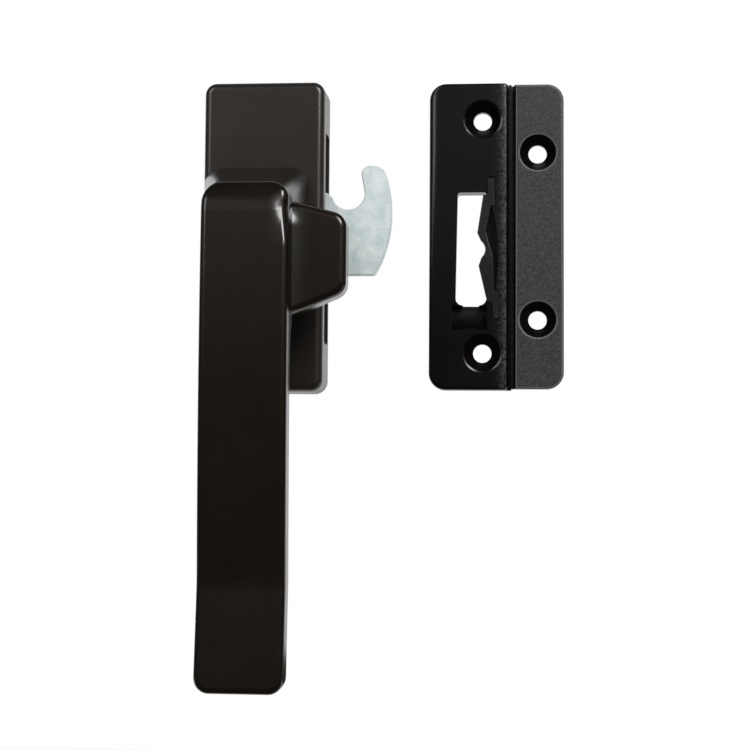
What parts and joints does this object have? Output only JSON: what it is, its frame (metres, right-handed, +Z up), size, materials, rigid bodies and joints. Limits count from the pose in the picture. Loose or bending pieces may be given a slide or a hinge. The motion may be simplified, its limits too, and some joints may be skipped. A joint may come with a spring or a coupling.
{
  "type": "window latch",
  "caption": "Dark painted window latch: a bowed lever on a flat base turns a zinc-plated hook that swings out sideways into the slot of a matching keeper plate.",
  "frame": {"origin": "middle of the base on the mounting plane, half-way between its fixing holes", "axes": "+X to the right, towards the keeper; +Z up; the front with the lever faces -Y and the mounting plane is Y = 0"},
  "size_m": [0.1069, 0.0468, 0.1755],
  "materials": {
    "base_paint": "satin brown-black paint on a zinc casting",
    "lever_paint": "satin brown-black paint on a zinc casting",
    "keeper_paint": "fine-textured black paint on a zinc casting",
    "hook_zinc": "zinc-plated sheet steel",
    "bright_steel": "turned and stamped steel",
    "black_steel": "black oxide",
    "bush_plastic": "moulded acetal",
    "insert_plastic": "moulded acetal"
  },
  "bodies": {
    "base": {"base_housing": "base_paint", "spindle_bush": "bush_plastic", "keeper_body": "keeper_paint", "keeper_insert": "insert_plastic"},
    "lever": {"lever": "lever_paint", "lever_screw": "black_steel", "spindle": "bright_steel", "hook": "hook_zinc", "spring_washer": "bright_steel", "retaining_washer": "bright_steel", "retaining_clip": "black_steel"}
  },
  "joints": [
    {"name": "lever_turn", "type": "hinge", "parent": "base", "child": "lever", "pos_m": [0, 0, 0.0079], "axis": [0, 1, 0], "range_deg": [0, 84]}
  ]
}
